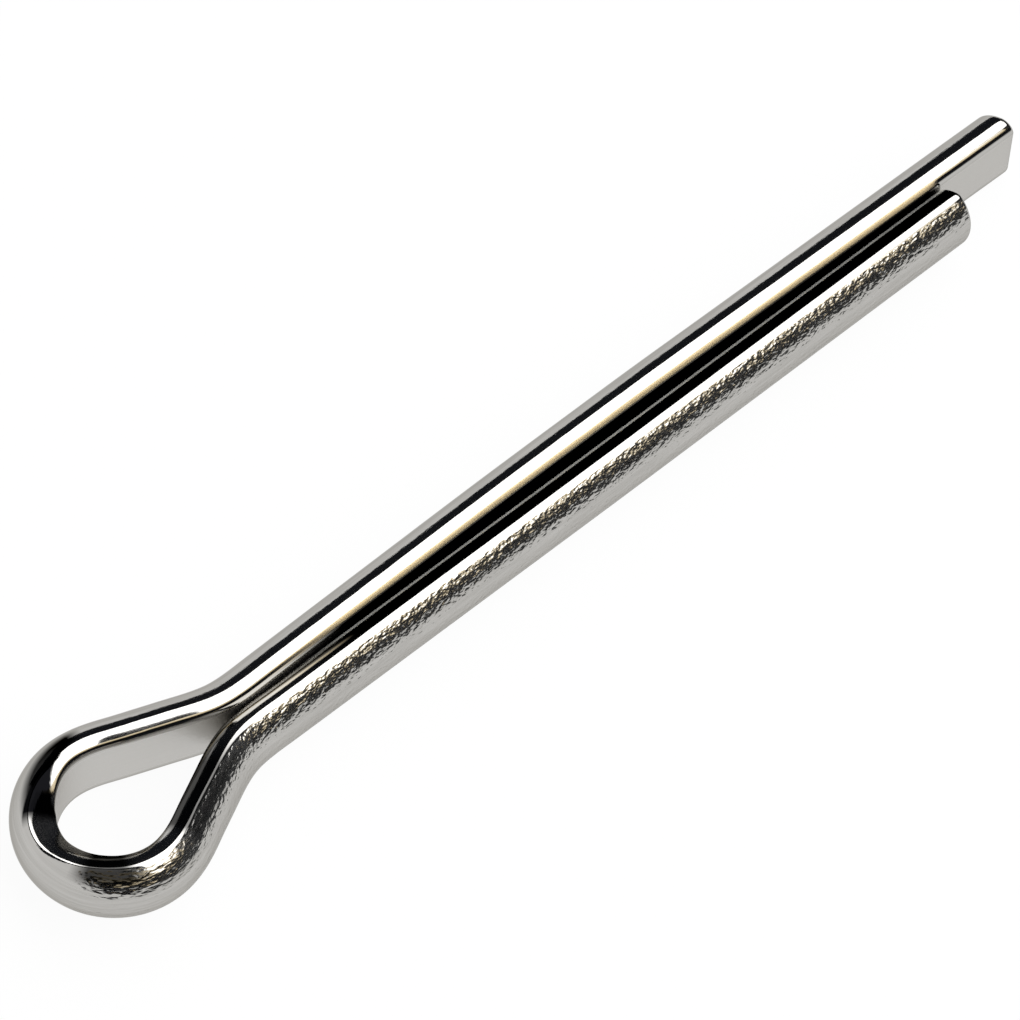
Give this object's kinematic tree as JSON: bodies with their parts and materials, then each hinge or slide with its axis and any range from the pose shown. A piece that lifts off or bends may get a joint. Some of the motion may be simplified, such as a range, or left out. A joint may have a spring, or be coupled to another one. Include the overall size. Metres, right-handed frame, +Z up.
{
  "type": "cotter pin",
  "caption": "Split cotter pin bent from half-round wire, with a teardrop eye, closed straight legs and one extended prong, for locking a pin or castle nut.",
  "frame": {"origin": "on the shank's axis, where the straight shank leaves the neck of the eye", "axes": "+X along the shank from the eye towards the ends, +Y towards the long leg, +Z up from the surface that the pin lies on"},
  "size_m": [0.0515, 0.0083, 0.0036],
  "materials": {
    "steel": "bright plated steel wire, smooth along its edges, finely pebbled on its crown and satin on its flat"
  },
  "bodies": {
    "root": {"cotter_pin": "steel"}
  },
  "joints": []
}
